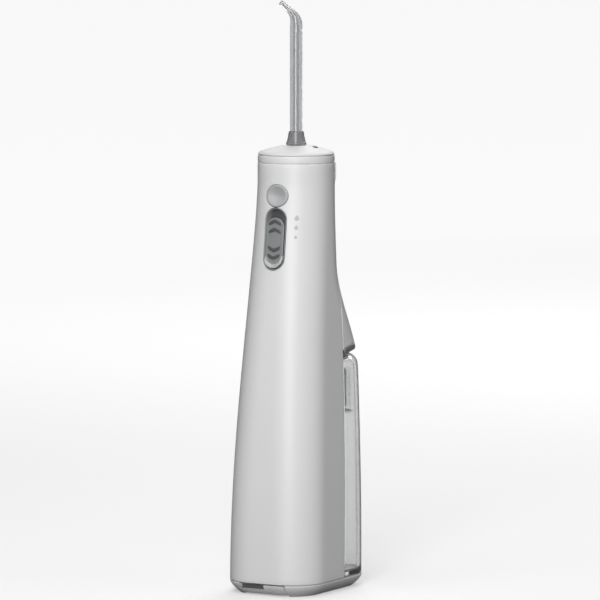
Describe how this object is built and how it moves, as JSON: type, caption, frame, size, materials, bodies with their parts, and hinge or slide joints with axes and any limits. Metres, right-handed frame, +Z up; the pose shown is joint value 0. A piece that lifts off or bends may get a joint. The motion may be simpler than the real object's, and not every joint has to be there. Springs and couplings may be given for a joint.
{
  "type": "water flosser",
  "caption": "Battery-powered water flosser: flared housing, rear clear reservoir, sliding switch and turning knob with a bent jet tip.",
  "frame": {"origin": "on the floor at the middle of the footprint; the jet tip's axis is the Z axis", "axes": "+Z up; -Y is the switch side, +Y the reservoir side; +X is the right side seen from the switch"},
  "size_m": [0.052, 0.0716, 0.2969],
  "materials": {
    "white_abs": "satin white ABS",
    "light_grey": "satin",
    "mid_grey": "satin",
    "dark_grey": "matte",
    "clear_tip": "clear grey moulding",
    "clear_tank": "clear grey moulding",
    "rubber": "matte",
    "steel": "satin",
    "nickel": "bright",
    "cell_jacket": "printed sleeve",
    "motor_shell": "plated can",
    "board": "solder mask",
    "nylon": "natural",
    "acetal": "natural",
    "hose": "soft"
  },
  "bodies": {
    "housing": {"front_housing": "white_abs", "rear_cover": "white_abs", "base_plinth": "white_abs", "tank_bay_wall": "white_abs", "neck_ring": "white_abs", "neck_frame": "nylon", "nozzle_seat": "nylon", "seat_oring": "rubber", "base_screw_left": "steel", "base_screw_right": "steel", "cover_screw": "steel", "battery_ceiling": "nylon", "battery_plate_top": "nickel", "cell_left": "cell_jacket", "cell_right": "cell_jacket", "cell_front": "cell_jacket", "motor_can": "motor_shell", "motor_end_cap": "dark_grey", "drive_frame": "nylon", "pump_cylinder": "acetal", "valve_block": "acetal", "valve_cover": "acetal", "delivery_tube": "hose", "suction_hose": "hose", "docking_port": "nylon", "port_oring": "rubber", "switch_bezel": "dark_grey", "switch_board": "board", "battery_door_pin": "steel"},
    "battery_hatch": {"battery_door": "white_abs", "battery_door_seal": "rubber", "battery_plate_door": "nickel", "battery_spring_left": "steel", "battery_spring_right": "steel", "battery_spring_front": "steel"},
    "knob": {"nozzle_knob": "white_abs"},
    "tip": {"jet_tip": "clear_tip", "tip_collar": "mid_grey"},
    "eject_push": {"eject_button": "light_grey"},
    "eject_plate": {"eject_clip": "nylon"},
    "switch": {"switch_slider": "mid_grey", "contact_slide": "nickel"},
    "tank": {"reservoir": "clear_tank", "pickup_tube": "hose", "fill_door_pin": "steel"},
    "tank_lid": {"fill_door": "clear_tank", "fill_door_seal": "rubber"},
    "latch_left": {"reservoir_latch_left": "dark_grey"},
    "latch_right": {"reservoir_latch_right": "dark_grey"},
    "rotor": {"motor_shaft": "steel", "pinion": "nylon"},
    "crank": {"crown_gear": "nylon"},
    "conrod": {"connecting_rod": "acetal"},
    "pump_piston": {"piston": "acetal", "piston_seal": "rubber"},
    "inlet_poppet": {"inlet_valve": "rubber", "inlet_spring": "steel"},
    "outlet_poppet": {"outlet_valve": "rubber", "outlet_spring": "steel"}
  },
  "joints": [
    {"name": "battery_door_hinge", "type": "hinge", "parent": "housing", "child": "battery_hatch", "pos_m": [0, 0.0017, 0.0023], "axis": [1, 0, 0], "range_deg": [0, 95]},
    {"name": "nozzle_turn", "type": "hinge", "parent": "housing", "child": "knob", "pos_m": [0, 0, 0.2195], "axis": [0, 0, 1], "continuous": true},
    {"name": "tip_pull", "type": "slide", "parent": "knob", "child": "tip", "axis": [0, 0, 1], "range_m": [0, 0.03]},
    {"name": "eject_press", "type": "slide", "parent": "housing", "child": "eject_push", "axis": [0, 0.9962, -0.0866], "range_m": [0, 0.002], "stiffness_N_per_m": 300, "springref_m": -0.002},
    {"name": "eject_clip_slide", "type": "slide", "parent": "housing", "child": "eject_plate", "axis": [0, 1, 0], "range_m": [0, 0.002]},
    {"name": "switch_slide", "type": "slide", "parent": "housing", "child": "switch", "axis": [0, 0.1113, 0.9938], "range_m": [0, 0.004]},
    {"name": "reservoir_pull", "type": "slide", "parent": "housing", "child": "tank", "axis": [0, 1, 0], "range_m": [0, 0.045]},
    {"name": "fill_door_hinge", "type": "hinge", "parent": "tank", "child": "tank_lid", "pos_m": [0, 0.0342, 0.0874], "axis": [-1, 0, 0], "range_deg": [0, 85]},
    {"name": "latch_press_left", "type": "slide", "parent": "housing", "child": "latch_left", "axis": [1, 0, 0], "range_m": [0, 0.0015], "stiffness_N_per_m": 400, "springref_m": -0.0015},
    {"name": "latch_press_right", "type": "slide", "parent": "housing", "child": "latch_right", "axis": [-1, 0, 0], "range_m": [0, 0.0015], "stiffness_N_per_m": 400, "springref_m": -0.0015},
    {"name": "crank_spin", "type": "hinge", "parent": "housing", "child": "crank", "pos_m": [0, -0.0107, 0.1072], "axis": [0, 1, 0], "continuous": true},
    {"name": "motor_spin", "type": "hinge", "parent": "housing", "child": "rotor", "pos_m": [0, -0.015, 0.0944], "axis": [0, 0, 1], "continuous": true},
    {"name": "rod_swing", "type": "hinge", "parent": "crank", "child": "conrod", "pos_m": [0, -0.0107, 0.1092], "axis": [0, 1, 0], "continuous": true},
    {"name": "piston_stroke", "type": "slide", "parent": "housing", "child": "pump_piston", "axis": [0, 0, 1], "range_m": [-0.004, 0]},
    {"name": "inlet_lift", "type": "slide", "parent": "housing", "child": "inlet_poppet", "axis": [0, 0, 1], "range_m": [0, 0.0008], "stiffness_N_per_m": 60, "springref_m": -0.001, "deforming": ["inlet_spring"]},
    {"name": "outlet_lift", "type": "slide", "parent": "housing", "child": "outlet_poppet", "axis": [0, 0, 1], "range_m": [0, 0.0008], "stiffness_N_per_m": 60, "springref_m": -0.001, "deforming": ["outlet_spring"]}
  ],
  "couplings": [
    {"joint": "motor_spin", "follows": "crank_spin", "ratio": 4},
    {"joint": "rod_swing", "follows": "crank_spin", "ratio": -1},
    {"joint": "eject_clip_slide", "follows": "eject_press", "ratio": 1}
  ]
}
